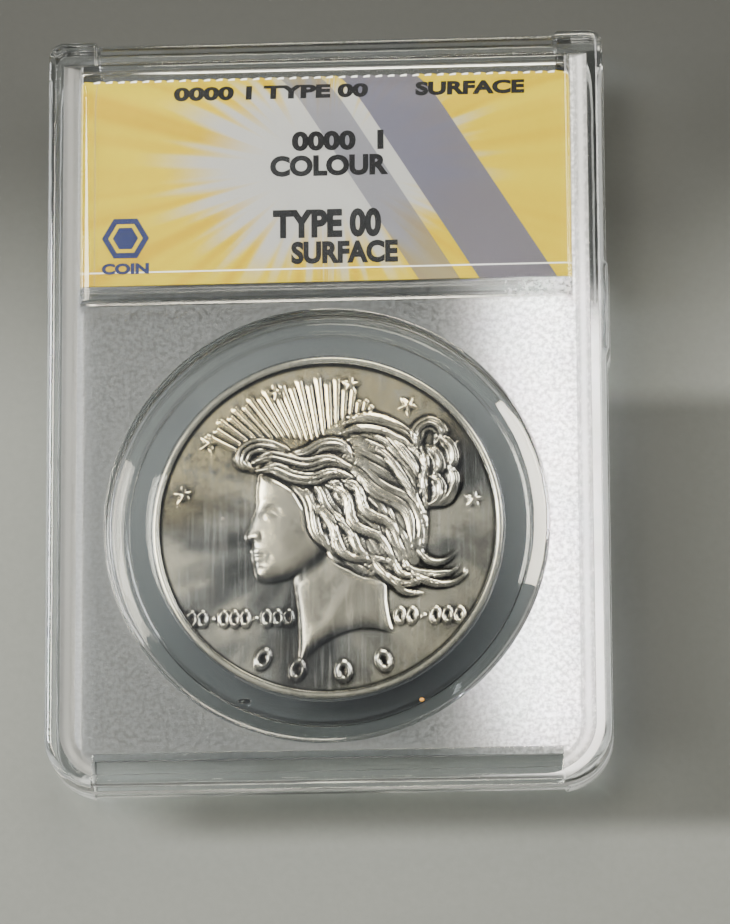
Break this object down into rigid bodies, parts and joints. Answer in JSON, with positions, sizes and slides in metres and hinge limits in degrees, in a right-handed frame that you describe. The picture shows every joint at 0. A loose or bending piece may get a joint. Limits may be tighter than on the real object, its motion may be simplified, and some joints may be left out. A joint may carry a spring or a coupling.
{
  "type": "graded coin slab",
  "caption": "Flat sealed clear plastic holder with a silver coin clamped in a split ring under a round window and a printed card under a raised rectangular window.",
  "frame": {"origin": "middle of the footprint, on the plane of the back rim, which the slab lies on", "axes": "+X across the slab, +Y towards the label end, +Z out of the front face"},
  "size_m": [0.061, 0.084, 0.008],
  "materials": {
    "clear_plastic": "clear injection-moulded polystyrene, polished windows and a finely grained frosted field",
    "silver": "struck silver with light grey toning and bag marks",
    "printed_card": "smooth printed card, off-white with warm rays and a grey-violet tint"
  },
  "bodies": {
    "root": {"front_shell": "clear_plastic", "back_shell": "clear_plastic", "weld_bead": "clear_plastic", "coin_ring_front": "clear_plastic", "coin_ring_back": "clear_plastic", "coin": "silver", "front_label": "printed_card", "back_label": "printed_card"}
  },
  "joints": []
}
